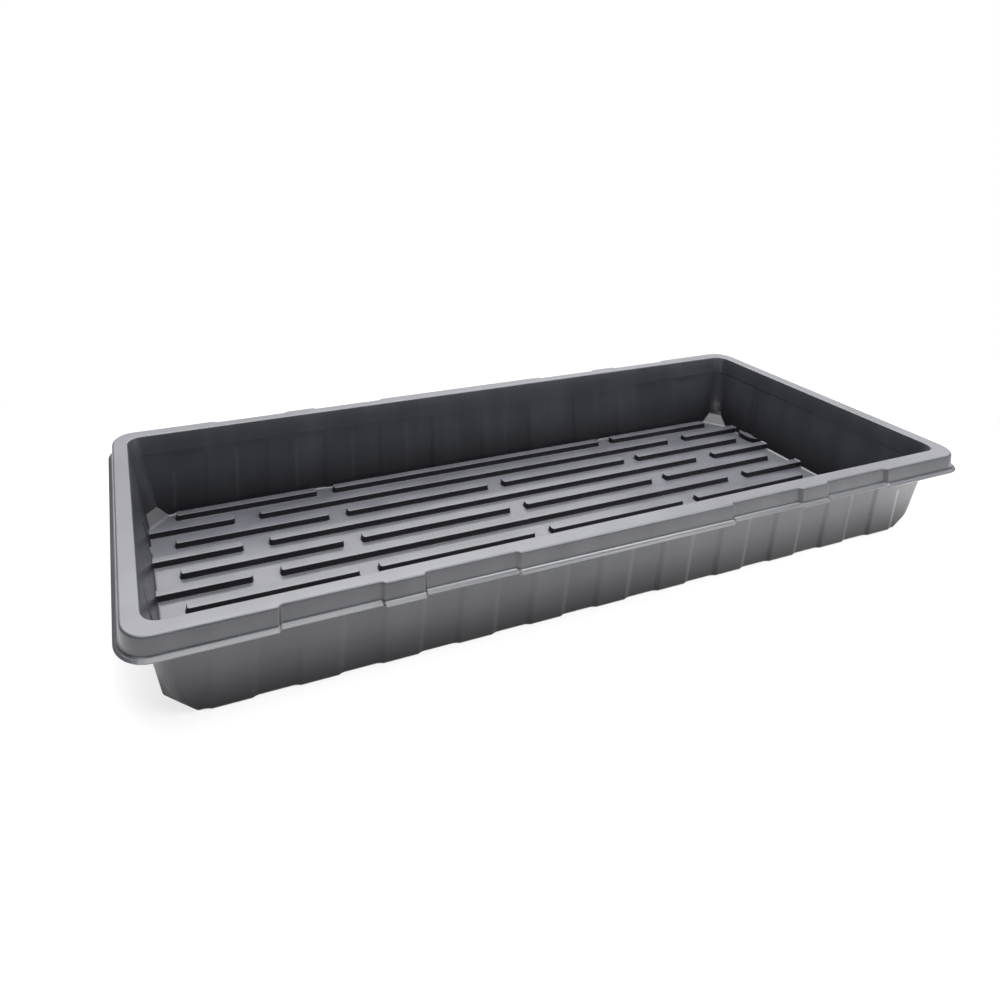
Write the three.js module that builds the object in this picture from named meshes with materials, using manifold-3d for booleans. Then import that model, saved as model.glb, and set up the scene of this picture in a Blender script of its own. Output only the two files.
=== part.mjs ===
import * as THREE from 'three';
import Module from 'manifold-3d';

const wasm = await Module();
wasm.setup();

// A seed tray thermoformed from one sheet of black plastic. Millimetres, +Z up, standing on z = 0,
// with the length along X. Half sizes are written [along X, along Y].

// Overall sizes, over the trimmed flange
const trayLength = 580;
const trayWidth = 220;
const trayHeight = 60;
const sheet = 1;

// Rim, skirt and flange
const flangeReach = 3.2;
const skirtFlare = 0.7;
const skirtHeight = 10;
const rimWidth = 9;
const rimEdge = 1.4;
const flangeCornerRadius = 20;
const rimCornerRadius = 16;

// Walls, from the rim down to the floor. A shallow lip under the rim overhangs the wall below it.
const lipDrop = 9.5;
const lipHeight = 0.6;
const lipOverhang = 0.5;
const upperWallDraft = 2.2;
const floorHalf = [263.5, 88.5];
const wallCornerRadius = 12;
const footRadius = 2;
const facetTop = 24;
const facetMiddle = 12;
const facetCut = 15;

// Pilasters stand out from the walls, deepest at the foot
const pilasterPitch = 46.5;
const longSidePilasters = 11;
const longSidePilaster = { width: 25, slope: 2.2, depth: 1.3 };
const endPilaster = { width: 8, slope: 1.4, depth: 1.3 };

// Shallow panels set back in the long skirts, from the middle outwards
const panelDepth = 1.8;
const panelSlope = 1.5;
const longSidePanels = [[76.2, 133.9], [156.5, 212.5]];

// Floor ribs: rows along the tray, broken up like courses of brick
const ribPitch = 16.55;
const ribRows = 11;
const ribHeight = 3.6;
const ribTopWidth = 5.4;
const ribFootWidth = 6.8;
const ribEdge = 0.7;
const barRounding = 0.6;
const wallOverrun = 6;
const shortRibGap = 13;
const shortRibBreak = 131;
const shortRibEnd = 248;
const longRibGap = 17.6;
const longRibBreak = 195;

// Half-elliptic pads as high as the ribs, at the foot of the right end wall in line with one row of ribs
const padRow = 3;
const padReach = 5;
const padHalfWidth = 9;

const cornerSteps = 6;
const ribCornerSteps = 2;
const hollowCornerSteps = 1;
const padSteps = 8;

// A band that rises from 0 to 1 over its slope, stays, and falls back
function plateau(place, band) {
  const rise = (place - band.from) / band.slope;
  const fall = (band.to - place) / band.slope;
  return THREE.MathUtils.clamp(Math.min(rise, fall), 0, 1);
}

function bandAround(centre, { width, slope }) {
  return { from: centre - width / 2, to: centre + width / 2, slope };
}

// Places along one half of a side where its outline bends
function bendsOf(bands) {
  const places = bands.flatMap(({ from, to, slope }) => [from, from + slope, to - slope, to]);
  return places.filter((place) => place > 0).sort((a, b) => a - b);
}

function pilasterBands(centres, shape) {
  return centres.map((centre) => bandAround(centre, shape));
}

const middlePilaster = (longSidePilasters - 1) / 2;
const longSideCentres = Array.from({ length: middlePilaster + 1 }, (_, index) => index * pilasterPitch);
const longSide = {
  pilasters: pilasterBands(longSideCentres, longSidePilaster),
  panels: longSidePanels.map(([from, to]) => ({ from, to, slope: panelSlope })),
};
const endSide = {
  pilasters: pilasterBands([padRow * ribPitch], endPilaster),
  panels: [],
};
for (const side of [longSide, endSide]) {
  side.bends = bendsOf([...side.pilasters, ...side.panels]);
}

function strongest(place, bands) {
  return Math.max(0, ...bands.map((band) => plateau(place, band)));
}

// How far a side stands out at a place, for a section with some pilaster and some panel in it
function standOut(place, side, depth, section) {
  const pilaster = strongest(place, side.pilasters) * depth * section.pilaster;
  const panel = strongest(place, side.panels) * panelDepth * section.panel;
  return pilaster - panel;
}

const grow = (half, distance) => half.map((size) => size + distance);

// One quarter of the outline, from the middle of the right end round to the middle of the back
function quarterOutline(section) {
  const [halfLength, halfWidth] = section.half;
  const { radius, cut } = section;
  const end = endSide.bends.map((y) => {
    return new THREE.Vector2(halfLength + standOut(y, endSide, endPilaster.depth, section), y);
  });
  const centre = grow(section.half, -radius);
  const arc = new THREE.EllipseCurve(...centre, radius, radius, 0, Math.PI / 2);
  const corner = arc.getPoints(cornerSteps);
  const cutLine = halfLength + halfWidth - cut;
  for (const point of corner) {
    const over = Math.max(0, point.x + point.y - cutLine) / 2;
    point.subScalar(over);
  }
  const side = longSide.bends.toReversed().map((x) => {
    return new THREE.Vector2(x, halfWidth + standOut(x, longSide, longSidePilaster.depth, section));
  });
  return [...end, ...corner, ...side];
}

// The whole outline at a section's height, counter-clockwise from above
function trayRing(section) {
  const quarter = quarterOutline(section);
  const back = quarter.toReversed();
  const flat = [
    ...quarter,
    ...back.map((point) => new THREE.Vector2(-point.x, point.y)),
    ...quarter.map((point) => new THREE.Vector2(-point.x, -point.y)),
    ...back.map((point) => new THREE.Vector2(point.x, -point.y)),
  ];
  return flat.map((point) => new THREE.Vector3(point.x, point.y, section.z));
}

// A closed solid through rings of equal length, with flat ends
function loft(rings) {
  const count = rings[0].length;
  const triangles = [];
  for (let level = 0; level < rings.length - 1; level += 1) {
    for (let index = 0; index < count; index += 1) {
      const here = level * count + index;
      const next = level * count + (index + 1) % count;
      triangles.push(here, next, next + count, here, next + count, here + count);
    }
  }
  const capOf = (ring) => {
    const outline = ring.map(({ x, y }) => new THREE.Vector2(x, y));
    return THREE.ShapeUtils.triangulateShape(outline, []);
  };
  const last = (rings.length - 1) * count;
  for (const [a, b, c] of capOf(rings[0])) {
    triangles.push(c, b, a);
  }
  for (const [a, b, c] of capOf(rings.at(-1))) {
    triangles.push(last + a, last + b, last + c);
  }
  const geometry = new THREE.BufferGeometry().setFromPoints(rings.flat());
  geometry.setIndex(triangles);
  return geometry;
}

function toSolid(geometry) {
  const vertProperties = new Float32Array(geometry.getAttribute('position').array);
  const triVerts = new Uint32Array(geometry.getIndex().array);
  return new wasm.Manifold(new wasm.Mesh({ numProp: 3, vertProperties, triVerts }));
}

function toGeometry(solid) {
  const mesh = solid.getMesh();
  const geometry = new THREE.BufferGeometry();
  geometry.setAttribute('position', new THREE.BufferAttribute(new Float32Array(mesh.vertProperties), 3));
  geometry.setIndex(new THREE.BufferAttribute(new Uint32Array(mesh.triVerts), 1));
  geometry.computeVertexNormals();
  return geometry;
}

// Half sizes of the rim and of the wall's inner face
const flangeHalf = [trayLength / 2, trayWidth / 2];
const skirtHalf = grow(flangeHalf, -flangeReach);
const rimHalf = grow(skirtHalf, -skirtFlare);
const rimInnerHalf = grow(rimHalf, -rimWidth);
const lipHalf = grow(rimInnerHalf, -upperWallDraft);
const wallTopHalf = grow(lipHalf, lipOverhang);
const flangeTop = trayHeight - skirtHeight;
const lipTop = trayHeight - lipDrop;
const wallTop = lipTop - lipHeight;

// How much a quarter arc takes off a square corner, measured along x + y
const arcCut = (radius) => (2 - Math.SQRT2) * radius;

// The lower wall's inner face runs straight from the floor to the lip. A flat facet takes over from
// each rounded corner and widens towards the floor.
function wallSection(z, thickness) {
  const rise = THREE.MathUtils.clamp((z - sheet) / (wallTop - sheet), 0, 1);
  const facet = THREE.MathUtils.clamp((facetTop - z) / (facetTop - sheet), 0, 1);
  const half = floorHalf.map((size, axis) => THREE.MathUtils.lerp(size, wallTopHalf[axis], rise));
  const cut = THREE.MathUtils.lerp(arcCut(wallCornerRadius), facetCut, facet);
  return {
    z,
    half: grow(half, thickness),
    radius: wallCornerRadius + thickness,
    cut: cut + arcCut(thickness),
    pilaster: 1 - rise,
    panel: 0,
  };
}

function floorEdge(z, thickness) {
  const section = wallSection(z, thickness);
  return { ...section, half: grow(section.half, -footRadius) };
}

function rimSection(z, half, radius, panel) {
  return { z, half, radius, cut: 0, pilaster: 0, panel };
}

// The sheet as one run of sections: up the outside, over the rim, and down the inside to the floor
function trayShell() {
  const sections = [
    floorEdge(0, sheet),
    wallSection(footRadius, sheet),
    wallSection(facetMiddle, sheet),
    wallSection(facetTop, sheet),
    wallSection(wallTop, sheet),
    rimSection(lipTop, grow(lipHalf, sheet), wallCornerRadius, 0),
    rimSection(trayHeight - sheet, grow(rimInnerHalf, sheet), wallCornerRadius, 0),
    rimSection(trayHeight - sheet, grow(rimHalf, -sheet), rimCornerRadius, 1),
    rimSection(flangeTop - sheet, grow(skirtHalf, -sheet), rimCornerRadius, 1),
    rimSection(flangeTop - sheet, flangeHalf, flangeCornerRadius, 1),
    rimSection(flangeTop, flangeHalf, flangeCornerRadius, 1),
    rimSection(flangeTop, skirtHalf, rimCornerRadius, 1),
    rimSection(trayHeight - rimEdge, rimHalf, rimCornerRadius, 1),
    rimSection(trayHeight, grow(rimHalf, -rimEdge), rimCornerRadius, 1),
    rimSection(trayHeight, grow(rimInnerHalf, rimEdge), wallCornerRadius, 0),
    rimSection(trayHeight - rimEdge, rimInnerHalf, wallCornerRadius, 0),
    rimSection(lipTop, lipHalf, wallCornerRadius, 0),
    wallSection(wallTop, 0),
    wallSection(facetTop, 0),
    wallSection(facetMiddle, 0),
    wallSection(sheet + footRadius, 0),
    floorEdge(sheet, 0),
  ];
  return toSolid(loft(sections.map(trayRing)));
}

// A bar along X with rounded corners, drawn in by each level's inset
function bar({ from, to, y }, levels, steps) {
  const rings = levels.map(({ z, inset }) => {
    const half = ribFootWidth / 2 - inset;
    const radius = half * barRounding;
    const right = to - inset - radius;
    const left = from + inset + radius;
    const corners = [[right, -1], [right, 1], [left, 1], [left, -1]];
    const ring = corners.flatMap(([centreX, side], index) => {
      const start = (index - 1) * Math.PI / 2;
      const centreY = y + side * (half - radius);
      const arc = new THREE.EllipseCurve(centreX, centreY, radius, radius, start, start + Math.PI / 2);
      return arc.getPoints(steps);
    });
    return ring.map((point) => new THREE.Vector3(point.x, point.y, z));
  });
  return toSolid(loft(rings));
}

// A half-elliptic pad that grows inwards from the right end wall, drawn in by each level's inset
function pad(y, levels) {
  const foot = floorHalf[0];
  const rings = levels.map(({ z, inset }) => {
    const half = padHalfWidth - inset;
    const arc = new THREE.EllipseCurve(foot, y, padReach - inset, half, Math.PI / 2, 1.5 * Math.PI);
    const back = [y - half, y + half].map((side) => new THREE.Vector2(foot + wallOverrun, side));
    const ring = [...arc.getPoints(padSteps), ...back];
    return ring.map((point) => new THREE.Vector3(point.x, point.y, z));
  });
  return toSolid(loft(rings));
}

// Where each rib starts and ends. Rows of short ribs take turns with rows whose outer ribs run into the
// end walls, and the two rows beside the long walls have one unbroken middle rib.
function ribPlaces() {
  const places = [];
  const outermost = (ribRows - 1) / 2;
  const pastWall = floorHalf[0] + wallOverrun;
  for (let row = -outermost; row <= outermost; row += 1) {
    const y = row * ribPitch;
    const reachesWalls = row % 2 === 0;
    const halfGap = (reachesWalls ? longRibGap : shortRibGap) / 2;
    const breakAt = reachesWalls ? longRibBreak : shortRibBreak;
    const end = reachesWalls ? pastWall : shortRibEnd;
    const inner = breakAt - halfGap;
    places.push({ from: -end, to: -breakAt - halfGap, y }, { from: breakAt + halfGap, to: end, y });
    if (reachesWalls || Math.abs(row) === outermost) {
      places.push({ from: -inner, to: inner, y });
    } else {
      places.push({ from: -inner, to: -halfGap, y }, { from: halfGap, to: inner, y });
    }
  }
  return places;
}

function joined(solids) {
  return solids.reduce((sum, solid) => sum.add(solid));
}

// Everything inside the middle of the sheet, low in the tray: it trims ribs that run into the walls
function trimBlock() {
  const middle = sheet / 2;
  const sections = [
    floorEdge(middle, middle),
    wallSection(middle + footRadius, middle),
    wallSection(facetMiddle, middle),
  ];
  return toSolid(loft(sections.map(trayRing)));
}

// All ribs and pads, drawn with the same levels
function ribsAndPads(levels, steps) {
  const ribs = ribPlaces().map((place) => bar(place, levels, steps));
  const pads = [-padRow, padRow].map((row) => pad(row * ribPitch, levels));
  return joined([...ribs, ...pads]);
}

const ribLean = (ribFootWidth - ribTopWidth) / 2;

// Raised from the floor: narrower upwards, with a softened top edge
function raisedForms() {
  const levels = [
    { z: 0, inset: 0 },
    { z: sheet + ribHeight - ribEdge, inset: ribLean },
    { z: sheet + ribHeight, inset: ribLean + ribEdge },
  ];
  return ribsAndPads(levels, ribCornerSteps).intersect(trimBlock());
}

// The same forms seen from below: open channels one sheet's thickness inside them
function hollowsBelow() {
  const levels = [
    { z: -sheet, inset: 0 },
    { z: ribHeight, inset: ribLean + sheet + ribEdge / 2 },
  ];
  return ribsAndPads(levels, hollowCornerSteps);
}

const traySolid = trayShell().add(raisedForms()).subtract(hollowsBelow());

const blackPlastic = new THREE.MeshStandardMaterial({ color: 0x232427, roughness: 0.45, metalness: 0 });
const tray = new THREE.Mesh(toGeometry(traySolid), blackPlastic);
tray.name = 'tray';

const seedTray = new THREE.Group();
seedTray.add(tray);

export default seedTray;
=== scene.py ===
import bpy
import math
from mathutils import Matrix, Vector


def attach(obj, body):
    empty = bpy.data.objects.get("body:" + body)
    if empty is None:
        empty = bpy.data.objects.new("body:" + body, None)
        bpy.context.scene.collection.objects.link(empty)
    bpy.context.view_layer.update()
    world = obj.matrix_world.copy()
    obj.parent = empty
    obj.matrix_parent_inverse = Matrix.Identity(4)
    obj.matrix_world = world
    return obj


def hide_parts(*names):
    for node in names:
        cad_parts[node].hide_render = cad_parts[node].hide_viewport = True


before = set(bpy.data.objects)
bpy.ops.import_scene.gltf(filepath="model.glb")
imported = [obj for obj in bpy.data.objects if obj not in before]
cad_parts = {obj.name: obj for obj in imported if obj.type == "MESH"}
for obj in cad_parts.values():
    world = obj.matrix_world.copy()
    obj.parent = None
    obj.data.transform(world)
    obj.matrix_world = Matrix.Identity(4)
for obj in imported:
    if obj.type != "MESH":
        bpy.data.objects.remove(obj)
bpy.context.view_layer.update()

mm = 0.001
near = 0.02  # mm, places closer than this are one place
slack = 0.3  # mm, room in the tests for what lies beside a place
ends = (-1, 1)


# camera first: it stands in front of the tray's left end, and the picture is the lower right of its view
view = {
    "place": (-0.29030, -0.43300, 0.30940),  # m
    "azimuth": -19.270, "elevation": 4.951, "roll": 0.671,  # degrees
    "focal": 723.15, "centre": (354.06, 158.68), "frame": 1000.0,  # px
    "sensor": 36.0,  # mm
    "closest": 0.01,  # m
}


def setCamera(shot):
    azimuth, elevation, roll = (math.radians(shot[key]) for key in ("azimuth", "elevation", "roll"))
    flat = math.cos(elevation)
    back = Vector((math.sin(azimuth) * flat, -math.cos(azimuth) * flat, math.sin(elevation)))
    level = (-back).cross(Vector((0, 0, 1))).normalized()
    upright = level.cross(-back)
    right = math.cos(roll) * level + math.sin(roll) * upright
    up = math.cos(roll) * upright - math.sin(roll) * level
    turn = Matrix((right, up, back)).transposed().to_4x4()
    bpy.ops.object.camera_add()
    camera = bpy.context.object
    camera.matrix_world = Matrix.Translation(shot["place"]) @ turn
    camera.data.sensor_width = shot["sensor"]
    camera.data.lens = shot["sensor"] * shot["focal"] / shot["frame"]
    camera.data.shift_x = 0.5 - shot["centre"][0] / shot["frame"]
    camera.data.shift_y = shot["centre"][1] / shot["frame"] - 0.5
    camera.data.clip_start = shot["closest"]
    bpy.context.scene.camera = camera


bpy.ops.object.select_all(action="DESELECT")
setCamera(view)
print("camera set")


# the tray is one formed sheet: its upper face is modelled in mm and turned into metres at the end
tray = {
    "name": "tray_sheet",
    "rings": {  # half length, half width, corner radius, height
        "edge": (289.95, 109.95, 17.5, 48.9),  # trimmed, and turned down a little
        "flange": (288.9, 108.7, 16.4, 49.7),
        "skirtFoot": (287.6, 107.4, 15.0, 50.1),
        "rimOuter": (287.2, 106.9, 14.5, 59.94),
        "rimInner": (277.1, 97.1, 9.0, 59.98),
        "lip": (274.1, 94.4, 9.0, 46.6),
        "wallTop": (274.28, 94.58, 9.0, 46.0),  # just under the lip
        "wallFoot": (263.5, 88.5, 8.0, 1.0),
    },
    "cornerSteps": 8,
    "sheet": 1.0,
}
rings = list(tray["rings"].values())
rimOuter, rimInner = tray["rings"]["rimOuter"], tray["rings"]["rimInner"]
wallTop, wallFoot = tray["rings"]["wallTop"], tray["rings"]["wallFoot"]
wallTopZ, floorZ = wallTop[3], wallFoot[3]
footX, footY = wallFoot[:2]


def leaveEdit():
    bpy.ops.object.mode_set(mode="OBJECT")


def pick(kind, test):  # select verts, edges or faces of the sheet by a test, and stay in edit mode
    bpy.ops.object.mode_set(mode="EDIT")
    bpy.ops.mesh.select_mode(type=kind)
    bpy.ops.mesh.select_all(action="DESELECT")
    leaveEdit()
    items = {"VERT": sheet.data.vertices, "EDGE": sheet.data.edges, "FACE": sheet.data.polygons}[kind]
    count = 0
    for item in items:
        item.select = bool(test(item))
        count += item.select
    bpy.ops.object.mode_set(mode="EDIT")
    return count


def corners(item):  # places of an edge's or a face's verts
    return [sheet.data.vertices[index].co for index in item.vertices]


def cutFaces(test, place, facing, **options):  # bisect the faces that pass the test
    pick("FACE", test)
    across = Vector(facing).normalized()
    bpy.ops.mesh.bisect(plane_co=place, plane_no=across, threshold=near / 4, **options)
    leaveEdit()


def shift(test, offset):
    count = pick("VERT", test)
    bpy.ops.transform.translate(value=offset)
    leaveEdit()
    return count


def shapeRing(halfX, halfY, radius, z):
    bpy.ops.transform.resize(value=(halfX, halfY, 1), center_override=(0, 0, 0))
    bpy.ops.transform.translate(value=(0, 0, z))
    bpy.ops.mesh.bevel(offset=radius, segments=tray["cornerSteps"], affect="VERTICES")
    bpy.ops.mesh.delete(type="ONLY_FACE")


def atHeights(*heights):
    return lambda item: all(any(abs(c.z - z) < near for z in heights) for c in corners(item))


bpy.ops.object.select_all(action="DESELECT")
bpy.ops.mesh.primitive_plane_add(size=2)
sheet = bpy.context.object
sheet.name = tray["name"]
bpy.ops.object.mode_set(mode="EDIT")
for step, ring in enumerate(rings):
    if step > 0:
        bpy.ops.mesh.primitive_plane_add(size=2)
    shapeRing(*ring)
leaveEdit()
for upper, lower in zip(rings, rings[1:]):
    pick("EDGE", atHeights(upper[3], lower[3]))
    bpy.ops.mesh.bridge_edge_loops()
    leaveEdit()
pick("EDGE", atHeights(floorZ))
bpy.ops.mesh.edge_face_add()
bpy.ops.mesh.select_all(action="SELECT")
bpy.ops.mesh.normals_make_consistent(inside=False)
leaveEdit()
print("sheet", len(sheet.data.polygons), "faces")


# the faces are told apart by the part of their normal that lies across, along or upwards
normalPart = {"longWall": 0.9, "endWall": 0.3, "floor": 0.99}


def onLongWall(face):
    return abs(face.normal.y) > normalPart["longWall"] and face.center.z < wallTopZ


def onEndWall(face):
    atEnd = abs(face.center.x) > footX - slack
    return atEnd and abs(face.normal.x) > normalPart["endWall"] and face.center.z < wallTopZ


def onFloor(face):
    return face.normal.z > normalPart["floor"] and abs(face.center.z - floorZ) < near


def atFoot(vert):
    return abs(vert.co.z - floorZ) < near


# pilasters: the long walls are sliced, then the strips between the slices go outwards below the lip
pilaster = {
    "pitch": 46.5, "count": 11, "half": 13.0, "slope": 2.8,
    "top": 42.0, "topDepth": 0.55, "footDepth": 1.05,
}


def addPilasters(sizes):
    half, flat = sizes["half"], sizes["half"] - sizes["slope"]
    reach = (sizes["count"] - 1) // 2
    centres = [index * sizes["pitch"] for index in range(-reach, reach + 1)]
    for centre in centres:
        for off in (-half, -flat, flat, half):
            cutFaces(onLongWall, (centre + off, 0, 0), (1, 0, 0))
    cutFaces(lambda face: onLongWall(face) and abs(face.center.x) < centres[-1] + half,
             (0, 0, sizes["top"]), (0, 0, 1))
    for side in ends:
        for height, depth in ((floorZ, sizes["footDepth"]), (sizes["top"], sizes["topDepth"])):
            def onPilaster(vert):
                onWall = abs(vert.co.z - height) < near and side * vert.co.y > footY - slack
                return onWall and any(abs(vert.co.x - centre) < flat + near for centre in centres)

            print("pilaster corners moved", shift(onPilaster, (0, side * depth, 0)))


addPilasters(pilaster)


# flutes: one narrow pilaster on each half of the end walls, in line with a row of ribs
flute = {"at": 49.65, "half": 4.6, "slope": 1.2, "depth": 1.5}
fluteFlat = flute["half"] - flute["slope"]


def addFlutes(sizes):
    for side in ends:
        for off in (-sizes["half"], -fluteFlat, fluteFlat, sizes["half"]):
            cutFaces(onEndWall, (0, side * sizes["at"] + off, 0), (0, 1, 0))
    for end in ends:
        def onFlute(vert):
            onWall = atFoot(vert) and end * vert.co.x > footX - slack
            return onWall and abs(abs(vert.co.y) - sizes["at"]) < fluteFlat + near

        print("flute corners moved", shift(onFlute, (end * sizes["depth"], 0, 0)))


addFlutes(flute)


# panels: four stretches of each long skirt stand back, and the flange and the rim's edge with them
panel = {"spans": [(76.2, 133.9), (156.5, 212.5)], "slope": 1.5, "depth": 1.8}


def addPanels(sizes):
    slope = sizes["slope"]
    flats = [(start + slope, stop - slope) for start, stop in sizes["spans"]]
    rimMiddle = (rimInner[1] + rimOuter[1]) / 2

    def onLongRim(face):
        return abs(face.center.y) > rimInner[1] and abs(face.center.x) < rimInner[0] - rimOuter[2]

    for (start, stop), flat in zip(sizes["spans"], flats):
        for x in (start, *flat, stop):
            for end in ends:
                cutFaces(onLongRim, (end * x, 0, 0), (1, 0, 0))
    for side in ends:
        def onPanel(vert):
            inside = any(first - near < abs(vert.co.x) < last + near for first, last in flats)
            return inside and side * vert.co.y > rimMiddle

        print("panel corners moved", shift(onPanel, (0, -side * sizes["depth"], 0)))


addPanels(panel)


# facets: cuts across the foot of each corner, each flatter and lower than the last, so that it flares
facet = {
    "cuts": [(30.0, 5.5), (20.0, 9.5), (12.0, 15.0)],  # height and reach of each
    "clear": 2.0,  # the facets' shading stops this far above them
    "sideways": 0.5, "upwards": 0.4,  # least parts of a low cut's normal
    "sharp": 4.0,  # edges that reach this close to the top aren't rounded
}
facetTop, facetReach = facet["cuts"][0][0], facet["cuts"][-1][1]


def onFacet(face):
    outwards = min(abs(face.normal.x), abs(face.normal.y))
    return outwards > facet["sideways"] and face.normal.z > facet["upwards"]


def cutFacets(sizes):
    def nearCorner(face):
        return floorZ + near < face.center.z < wallTopZ and abs(face.center.x) > footX - 2 * facetReach

    def belowLip(face):
        return all(c.z < wallTopZ + near for c in corners(face))

    cutFaces(nearCorner, (0, 0, facetTop + sizes["clear"]), (0, 0, 1))
    for top, reach in sizes["cuts"]:
        rise = (top - floorZ) / (wallTopZ - floorZ)
        halfX, halfY, radius = (wallFoot[i] + (wallTop[i] - wallFoot[i]) * rise for i in range(3))
        footSum = footX + footY - reach
        lean = (halfX + halfY - (2 - math.sqrt(2)) * radius - footSum) / (top - floorZ)
        for end in (1, -1):
            for side in (1, -1):
                cutFaces(belowLip, (end * footSum, 0, floorZ), (end, side, -lean),
                         clear_outer=True, use_fill=True)


cutFacets(facet)
print("facets cut", len(sheet.data.polygons), "faces")


# ribs: strips along the floor, broken up like courses of brick and raised
rib = {
    "pitch": 16.55, "rows": 11, "foot": 3.4, "lean": 0.7, "height": 3.9,
    "endRadius": 2.0, "endSteps": 3,
    "shortGap": 13.0, "shortBreak": 131.0, "shortEnd": 248.0, "cornerEnd": 244.5,
    "longGap": 17.6, "longBreak": 195.0,
}
outermost = (rib["rows"] - 1) // 2
rowPlaces = {row: row * rib["pitch"] for row in range(-outermost, outermost + 1)}
wallRows = [y for row, y in rowPlaces.items() if row % 2 == 0]  # their ribs run into the end walls
ribTopZ = floorZ + rib["height"]
wallX = footX + (wallTop[0] - footX) * rib["height"] / (wallTopZ - floorZ)  # end wall at that height


def inRow(face, y):
    return abs(face.center.y - y) < rib["foot"] / 3


def ribSpans(row, sizes):
    if row % 2 == 0:
        half, stop = sizes["longGap"] / 2, sizes["longBreak"]
        return [(-footX, -stop - half), (half - stop, stop - half), (stop + half, footX)]
    half, stop, end = sizes["shortGap"] / 2, sizes["shortBreak"], sizes["shortEnd"]
    middle = [(half - stop, -half), (half, stop - half)]
    if abs(row) == outermost:  # beside the long walls, between the corner facets
        middle, end = [(half - stop, stop - half)], sizes["cornerEnd"]
    return [(-end, -stop - half), *middle, (stop + half, end)]


def raiseRibs(sizes):
    foot, lean = sizes["foot"], sizes["lean"]
    spans = {row: ribSpans(row, sizes) for row in rowPlaces}
    ribEnds = [(x, y) for row, y in rowPlaces.items()
               for x in {place for span in spans[row] for place in span if abs(place) < footX}]
    for y in rowPlaces.values():
        for side in ends:
            cutFaces(onFloor, (0, y + side * foot, 0), (0, 1, 0))
    for x, y in ribEnds:
        cutFaces(lambda face: onFloor(face) and inRow(face, y), (x, 0, 0), (1, 0, 0))

    def atRibEnd(vert):
        return atFoot(vert) and any(abs(vert.co.x - x) < near and abs(abs(vert.co.y - y) - foot) < near
                                    for x, y in ribEnds)

    pick("VERT", atRibEnd)
    bpy.ops.mesh.bevel(offset=sizes["endRadius"], segments=sizes["endSteps"], affect="VERTICES")
    leaveEdit()
    cutFaces(onEndWall, (0, 0, ribTopZ), (0, 0, 1))
    for y in wallRows:  # a cell in the end wall behind each rib that runs into it
        for side in ends:
            cutFaces(lambda face: onEndWall(face) and face.center.z < ribTopZ,
                     (0, y + side * foot, floorZ), (0, sizes["height"], side * lean))

    def onRib(face):
        rows = [row for row, y in rowPlaces.items() if inRow(face, y)]
        return onFloor(face) and any(a < face.center.x < b for row in rows for a, b in spans[row])

    print("ribs", pick("FACE", onRib))
    bpy.ops.mesh.inset(thickness=lean, depth=sizes["height"], use_individual=True, use_even_offset=True)
    leaveEdit()
    for end in ends:  # the tops that meet a wall go back to it
        def besideWall(vert):
            return abs(vert.co.z - ribTopZ) < near and abs(end * vert.co.x - footX + lean) < slack

        shift(besideWall, (end * (wallX - footX + lean), 0, 0))
    pick("VERT", lambda vert: True)
    bpy.ops.mesh.remove_doubles(threshold=near)
    leaveEdit()

    def behindRib(face):
        inWall = abs(abs(face.center.x) - (footX + wallX) / 2) < slack
        below = floorZ < face.center.z < ribTopZ
        return inWall and below and any(inRow(face, y) for y in wallRows)

    pick("FACE", behindRib)
    bpy.ops.mesh.delete(type="FACE")
    leaveEdit()


raiseRibs(rib)


# pads: half ellipses as high as the ribs at the foot of the right end wall, below its flutes
pad = {"half": 9.0, "reach": 5.0, "steps": (0.0, fluteFlat, flute["half"], 7.0, 8.6), "shelf": 0.3}


def addPads(sizes):
    half, shelfZ = sizes["half"], ribTopZ - sizes["shelf"]
    steps = sorted({side * step for side in ends for step in sizes["steps"]})

    def onRightWall(face):
        return onEndWall(face) and face.center.x > 0 and face.center.z < ribTopZ

    for side in ends:
        centre = side * flute["at"]
        for off in (-half, *steps, half):
            cutFaces(onRightWall, (0, centre + off, 0), (0, 1, 0))
        cutFaces(lambda face: onRightWall(face) and abs(face.center.y - centre) < half,
                 (0, 0, shelfZ), (0, 0, 1))
        for off in steps:
            def onStep(vert):
                return vert.co.x > footX - slack and abs(vert.co.y - centre - off) < near

            front = footX - sizes["reach"] * math.sqrt(1 - (off / half) ** 2)
            pick("VERT", lambda vert: onStep(vert) and atFoot(vert))
            bpy.ops.transform.resize(value=(0, 1, 1), center_override=(front, 0, 0))
            leaveEdit()
            pick("VERT", lambda vert: onStep(vert) and abs(vert.co.z - shelfZ) < near)
            bpy.ops.transform.resize(value=(0, 1, 0), center_override=(front + rib["lean"], 0, ribTopZ))
            leaveEdit()


addPads(pad)
print("ribs and pads raised", len(sheet.data.polygons), "faces")


# rounding of each kind of edge in mm, done by one bevel that reads edge weights
rounding = {
    "rimOuter": 1.3, "rimInner": 0.7, "lip": 0.2, "skirtFoot": 1.0, "flange": 0.4, "panelEdge": 0.8,
    "foot": 1.7, "pilasterEdge": 1.0, "fluteEdge": 0.45, "facetEdge": 0.8,
    "ribTop": 0.3, "ribFoot": 0.25, "ribWall": 0.9,
}
folding = {
    "tall": 3.0,  # mm, an edge that rises by more is a tall one
    "leastTall": 14.0, "leastLow": 4.0,  # degrees, smaller folds aren't rounded
    "smooth": 35.0,  # degrees, larger folds are shaded sharp
    "segments": 3,
}
widest = max(rounding.values())


def foldsOf(mesh):  # each edge's fold angle in degrees and its two faces
    faces = {}
    for face in mesh.polygons:
        for key in face.edge_keys:
            faces.setdefault(key, []).append(face)
    folds = {}
    for edge in mesh.edges:
        pair = faces.get(tuple(sorted(edge.vertices)), [])
        if len(pair) == 2:
            folds[edge.index] = math.degrees(pair[0].normal.angle(pair[1].normal)), pair
    return folds


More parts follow.
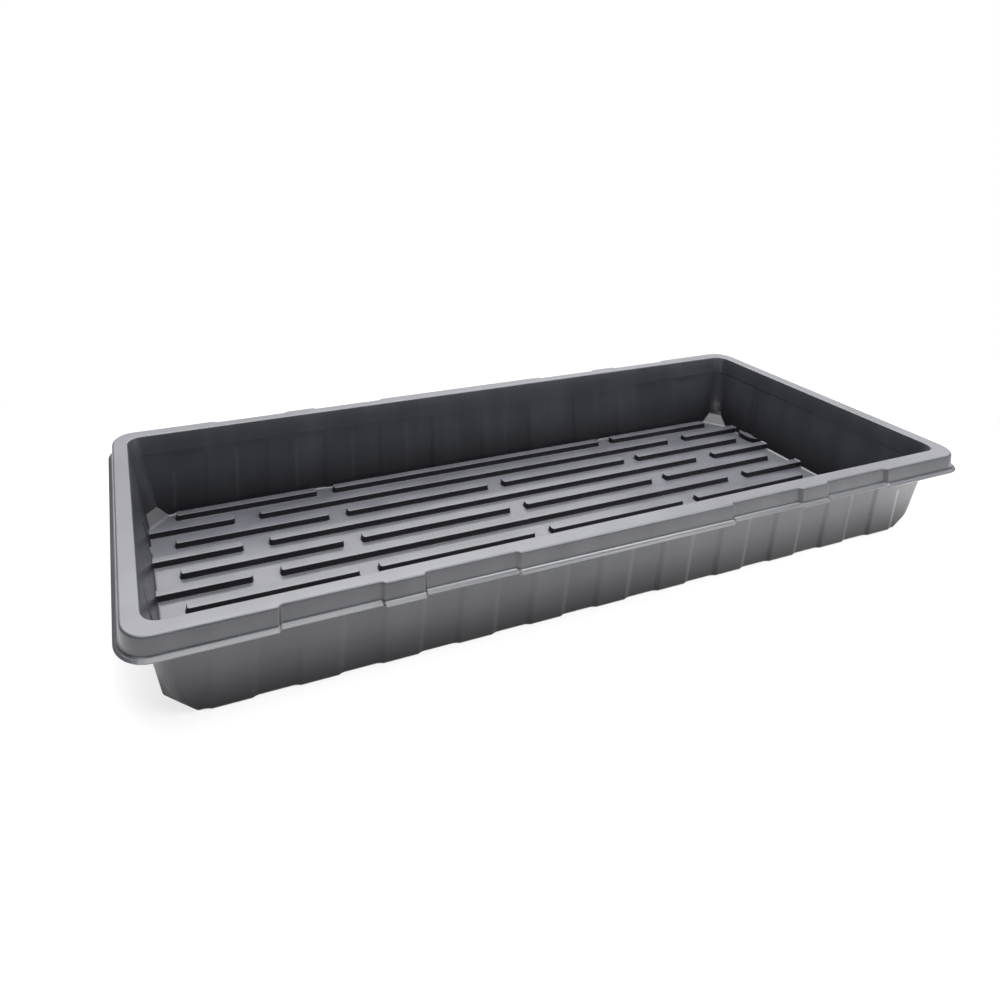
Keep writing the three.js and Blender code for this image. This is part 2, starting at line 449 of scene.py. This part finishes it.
def rimKind(middle, low, high):  # edges from the lip up
    inside = abs(middle.x) < rimInner[0] + slack and abs(middle.y) < rimInner[1] + slack
    if low > rimOuter[3] - near:
        return "rimInner" if inside else "rimOuter"
    if inside:
        return "lip" if high - low < near else None
    if high - low > folding["tall"]:
        return "panelEdge"
    return "skirtFoot" if low > tray["rings"]["flange"][3] + near else "flange"


def ribKind(middle, low, high, pair):
    if high < floorZ + near:
        return "ribFoot"
    if low > ribTopZ - near:
        atWall = any(onEndWall(face) and face.center.z > ribTopZ for face in pair)
        return "ribWall" if atWall else "ribTop"
    return "ribWall" if abs(middle.x) > footX - slack else None


def amongRibs(middle):
    besideWall = any(abs(middle.y - y) < rib["foot"] + slack for y in wallRows)
    inLength = abs(middle.x) < footX - slack or (besideWall and abs(middle.x) < wallX + slack)
    return inLength and abs(middle.y) < rowPlaces[outermost] + rib["foot"] + slack


def edgeKind(edge, fold, pair):
    a, b = corners(edge)
    low, high = sorted((a.z, b.z))
    middle = (a + b) / 2
    tall = high - low > folding["tall"]
    offFlute = abs(abs(middle.y) - flute["at"])
    if fold < (folding["leastTall"] if tall else folding["leastLow"]):
        return None
    if low > wallTopZ - near:
        return rimKind(middle, low, high)
    if any(onFacet(face) for face in pair):
        if high < floorZ + near:
            return "foot"
        return "facetEdge" if high < facetTop - facet["sharp"] else None
    if tall and low > ribTopZ - near and abs(middle.x) > footX and offFlute < flute["half"] + slack:
        return "fluteEdge"
    if middle.x > footX - pad["reach"] - slack and offFlute < pad["half"] - slack:
        return None  # a pad's own edges are sharp
    if high < ribTopZ + near and amongRibs(middle):
        return ribKind(middle, low, high, pair)
    if high < floorZ + near:
        return "foot"
    onPilaster = abs(middle.y) > footY - slack and abs(middle.x) < footX - facetReach
    return "pilasterEdge" if onPilaster else None


def roundEdges(widths):
    folds = foldsOf(sheet.data)
    kinds = {index: edgeKind(sheet.data.edges[index], *fold) for index, fold in folds.items()}
    for kind in sorted(set(kinds.values()) - {None}):
        count = pick("EDGE", lambda edge: kinds.get(edge.index) == kind)
        bpy.ops.transform.edge_bevelweight(value=widths[kind] / widest)
        leaveEdit()
        print("rounding", kind, count)


def addModifier(name, kind, **settings):
    modifier = sheet.modifiers.new(name, kind)
    for key, value in settings.items():
        setattr(modifier, key, value)
    bpy.ops.object.modifier_apply(modifier=modifier.name)


def setOnGround():  # the underside dips below it by a hair in places
    low = pick("VERT", lambda vert: vert.co.z < 0)
    bpy.ops.transform.resize(value=(1, 1, 0), center_override=(0, 0, 0))
    leaveEdit()
    print("low places set on the ground", low)


roundEdges(rounding)
addModifier("thickness", "SOLIDIFY", thickness=tray["sheet"], offset=-1, use_even_offset=True,
            use_quality_normals=True, use_rim=True)
setOnGround()
addModifier("rounding", "BEVEL", width=widest, segments=folding["segments"], limit_method="WEIGHT",
            use_clamp_overlap=False, miter_outer="MITER_ARC", loop_slide=False)
setOnGround()
pick("VERT", lambda vert: True)
bpy.ops.transform.resize(value=(mm, mm, mm), center_override=(0, 0, 0))
leaveEdit()
bpy.ops.object.shade_smooth_by_angle(angle=math.radians(folding["smooth"]))
addModifier("flatFaces", "WEIGHTED_NORMAL", keep_sharp=True, weight=100)  # large faces shade flat
print("sheet rounded", len(sheet.data.polygons), "faces")


# black satin plastic: steep faces are painted darker than lying ones as painted shade, and carry draw
# streaks
plastic = {
    "footShade": (0.007, 0.007, 0.009, 1),  # painted shade at the foot of steep faces
    # the steep tones are the lying tones darkened as painted shade; the lying tones vary at random
    "steepShade": (0.022, 0.023, 0.029, 1), "streak": (0.030, 0.031, 0.038, 1),
    "lyingBase": (0.050, 0.051, 0.060, 1), "worn": (0.064, 0.065, 0.076, 1),
    "lying": (0.56, 0.9),  # upward part of the normal, from steep to lying
    # below the dark and dull heights, steep faces are painted darker and mirror less, as painted shade
    # at their foot
    "dark": (0.003, 0.034), "dull": (0.003, 0.026), "handledRim": (0.052, 0.058),  # heights in m
    "mottle": {"scale": 24, "detail": 4, "range": (0.35, 0.65)},
    "drawn": {"scale": 60, "detail": 3, "range": (0.4, 0.7), "stretch": (1, 1, 0.06)},
    "wear": {"scale": 70, "detail": 5, "range": (0.3, 0.7)},
    "grain": {"scale": 900, "detail": 3, "strength": 0.05, "depth": 0.0004},
    "roughness": (0.28, 0.34), "handled": 0.14,  # the rim is rougher by this much
    "mirror": (0.22, 0.5), "ior": 1.6,  # steep faces mirror less low down, as painted shade
}


def noise(nodes, links, place, pattern):
    sized = nodes.new("ShaderNodeMapping")
    sized.inputs["Scale"].default_value = pattern.get("stretch", (1, 1, 1))
    links.new(place.outputs["Object"], sized.inputs["Vector"])
    texture = nodes.new("ShaderNodeTexNoise")
    texture.inputs["Scale"].default_value = pattern["scale"]
    texture.inputs["Detail"].default_value = pattern["detail"]
    links.new(sized.outputs["Vector"], texture.inputs["Vector"])
    return texture.outputs["Fac"]


def ramp(nodes, links, value, start, stop, low=0, high=1):
    span = nodes.new("ShaderNodeMapRange")
    for key, amount in (("From Min", start), ("From Max", stop), ("To Min", low), ("To Max", high)):
        span.inputs[key].default_value = amount
    links.new(value, span.inputs["Value"])
    return span.outputs["Result"]


def grey(level):
    return (level, level, level, 1)


def blend(nodes, links, share, first, second):  # colours or sockets, mixed by a share
    mix = nodes.new("ShaderNodeMixRGB")
    links.new(share, mix.inputs["Fac"])
    for key, colour in (("Color1", first), ("Color2", second)):
        if isinstance(colour, tuple):
            mix.inputs[key].default_value = colour
        else:
            links.new(colour, mix.inputs[key])
    return mix.outputs["Color"]


def makePlastic(look):
    mat = bpy.data.materials.new("black_plastic")
    mat.use_nodes = True
    nodes, links = mat.node_tree.nodes, mat.node_tree.links
    shader = nodes["Principled BSDF"]
    place = nodes.new("ShaderNodeTexCoord")
    upward = nodes.new("ShaderNodeSeparateXYZ")
    links.new(place.outputs["Normal"], upward.inputs["Vector"])
    split = nodes.new("ShaderNodeSeparateXYZ")
    links.new(place.outputs["Object"], split.inputs["Vector"])
    height = split.outputs["Z"]
    lying = ramp(nodes, links, upward.outputs["Z"], *look["lying"])

    # colour
    mottle, drawn = (ramp(nodes, links, noise(nodes, links, place, look[key]), *look[key]["range"])
                     for key in ("mottle", "drawn"))
    # painted shade: steep faces darken towards their foot
    risen = ramp(nodes, links, height, *look["dark"])
    wallTone = blend(nodes, links, drawn, look["steepShade"], look["streak"])
    steepTone = blend(nodes, links, risen, look["footShade"], wallTone)
    lyingTone = blend(nodes, links, mottle, look["lyingBase"], look["worn"])
    # lying faces take the plain tone, steep faces the painted shade
    links.new(blend(nodes, links, lying, steepTone, lyingTone), shader.inputs["Base Color"])

    # gloss
    wear = noise(nodes, links, place, look["wear"])
    rough = nodes.new("ShaderNodeMath")
    links.new(ramp(nodes, links, wear, *look["wear"]["range"], *look["roughness"]), rough.inputs[0])
    links.new(ramp(nodes, links, height, *look["handledRim"], 0, look["handled"]), rough.inputs[1])
    links.new(rough.outputs["Value"], shader.inputs["Roughness"])
    steepMirror = ramp(nodes, links, height, *look["dull"], *look["mirror"])
    fullMirror = grey(look["mirror"][1])
    links.new(blend(nodes, links, lying, steepMirror, fullMirror), shader.inputs["Specular IOR Level"])
    shader.inputs["IOR"].default_value = look["ior"]

    # grain
    bump = nodes.new("ShaderNodeBump")
    bump.inputs["Strength"].default_value = look["grain"]["strength"]
    bump.inputs["Distance"].default_value = look["grain"]["depth"]
    links.new(noise(nodes, links, place, look["grain"]), bump.inputs["Height"])
    links.new(bump.outputs["Normal"], shader.inputs["Normal"])
    return mat


sheet.data.materials.clear()
sheet.data.materials.append(makePlastic(plastic))
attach(sheet, "root")
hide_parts("tray")
print("plastic on")


# stage: a white floor, a large light behind and above, a dim card low behind, lights overhead, at the
# front right and past the right end, and a weak one behind the camera
stage = {
    "floor": 12.0, "below": 0.0002, "white": 0.86, "roughness": 0.9,
    "seenShare": 0.75, "mirroredShare": 0.0,  # how far the floor beside the tray is plain white
    "fade": 0.28,  # m, all of it is past this
    "room": 0.06,
    "lights": {
        "back": {"place": (0.1, 1.45, 2.2), "aim": (0, 0, 0), "size": (3.4, 1.8), "power": 148},
        "card": {"place": (1.3, 1.9, 0.6), "aim": (0.2, 0, 0.05), "size": (4.5, 0.7), "power": 20},
        "above": {"place": (-0.1, -0.3, 2.2), "aim": (0, 0, 0), "size": (1.8, 1.8), "power": 60},
        "side": {"place": (0.8, -0.9, 1.1), "aim": (0.3, -0.2, 0), "size": (0.9, 0.9), "power": 30},
        "right": {"place": (1.7, 0.3, 1.4), "aim": (0, 0, 0), "size": (1.4, 1.4), "power": 14},
        "eye": {"place": (-1.5, -1.6, 1.6), "aim": (0.2, 0, 0.05), "size": (1.0, 1.0), "power": 14},
    },
}


def vectorMath(nodes, links, operation, value, other=(0, 0, 0)):
    node = nodes.new("ShaderNodeVectorMath")
    node.operation = operation
    links.new(value, node.inputs[0])
    node.inputs[1].default_value = other
    return node


def scalarMath(nodes, links, operation, first, second):
    node = nodes.new("ShaderNodeMath")
    node.operation = operation
    links.new(first, node.inputs[0])
    links.new(second, node.inputs[1])
    return node.outputs["Value"]


def whiteFloor(look):
    mat = bpy.data.materials.new("white_floor")
    mat.use_nodes = True
    nodes, links = mat.node_tree.nodes, mat.node_tree.links
    shader = nodes["Principled BSDF"]
    shader.inputs["Base Color"].default_value = grey(look["white"])
    shader.inputs["Roughness"].default_value = look["roughness"]
    shader.inputs["Specular IOR Level"].default_value = 0.0
    glow = nodes.new("ShaderNodeEmission")
    glow.inputs["Color"].default_value = grey(1)
    glow.inputs["Strength"].default_value = 1.0

    # distance from the tray's foot
    place = nodes.new("ShaderNodeTexCoord")
    foot = (footX * mm, footY * mm, 0)
    quarter = vectorMath(nodes, links, "ABSOLUTE", place.outputs["Object"])
    beyond = vectorMath(nodes, links, "SUBTRACT", quarter.outputs["Vector"], foot)
    outside = vectorMath(nodes, links, "MAXIMUM", beyond.outputs["Vector"])
    away = vectorMath(nodes, links, "LENGTH", outside.outputs["Vector"]).outputs["Value"]

    # share of white for each kind of ray
    path = nodes.new("ShaderNodeLightPath")
    shares = []
    for ray, nearShare in (("Is Camera Ray", "seenShare"), ("Is Glossy Ray", "mirroredShare"),
                           ("Is Transmission Ray", "mirroredShare")):
        share = nodes.new("ShaderNodeMapRange")
        share.interpolation_type = "SMOOTHSTEP"
        share.inputs["From Max"].default_value = look["fade"]
        share.inputs["To Min"].default_value = look[nearShare]
        links.new(away, share.inputs["Value"])
        shares.append(scalarMath(nodes, links, "MULTIPLY", path.outputs[ray], share.outputs["Result"]))
    seen, mirrored, through = shares
    most = scalarMath(nodes, links, "MAXIMUM", seen, mirrored)
    mix = nodes.new("ShaderNodeMixShader")
    links.new(scalarMath(nodes, links, "MAXIMUM", most, through), mix.inputs["Fac"])
    links.new(shader.outputs["BSDF"], mix.inputs[1])
    links.new(glow.outputs["Emission"], mix.inputs[2])
    links.new(mix.outputs["Shader"], nodes["Material Output"].inputs["Surface"])
    return mat


def paintRoom(strength):  # lights the tray dimly, and is white to the camera
    world = bpy.data.worlds.new("room")
    bpy.context.scene.world = world
    world.use_nodes = True
    nodes, links = world.node_tree.nodes, world.node_tree.links
    plain = nodes["Background"]
    plain.inputs["Color"].default_value = grey(1)
    plain.inputs["Strength"].default_value = strength
    seen = nodes.new("ShaderNodeBackground")
    seen.inputs["Color"].default_value = grey(1)
    seen.inputs["Strength"].default_value = 1.0
    path = nodes.new("ShaderNodeLightPath")
    mix = nodes.new("ShaderNodeMixShader")
    links.new(path.outputs["Is Camera Ray"], mix.inputs["Fac"])
    links.new(plain.outputs["Background"], mix.inputs[1])
    links.new(seen.outputs["Background"], mix.inputs[2])
    links.new(mix.outputs["Shader"], nodes["World Output"].inputs["Surface"])


def softLight(name, light):
    bpy.ops.object.light_add(type="AREA", location=light["place"])
    lamp = bpy.context.object
    lamp.name = name
    lamp.data.shape = "RECTANGLE"
    lamp.data.size, lamp.data.size_y = light["size"]
    lamp.data.energy = light["power"]
    towards = Vector(light["aim"]) - Vector(light["place"])
    lamp.rotation_euler = towards.to_track_quat("-Z", "Y").to_euler()
    lamp.visible_camera = False


def makeStage(look):
    bpy.ops.object.select_all(action="DESELECT")
    bpy.ops.mesh.primitive_plane_add(size=look["floor"], location=(0, 0, -look["below"]))
    floor = bpy.context.object
    floor.name = "floor"
    floor.data.materials.append(whiteFloor(look))
    paintRoom(look["room"])
    for name, light in look["lights"].items():
        softLight(name + "_light", light)


makeStage(stage)
print("stage set")
bpy.context.scene.view_settings.view_transform = "Standard"
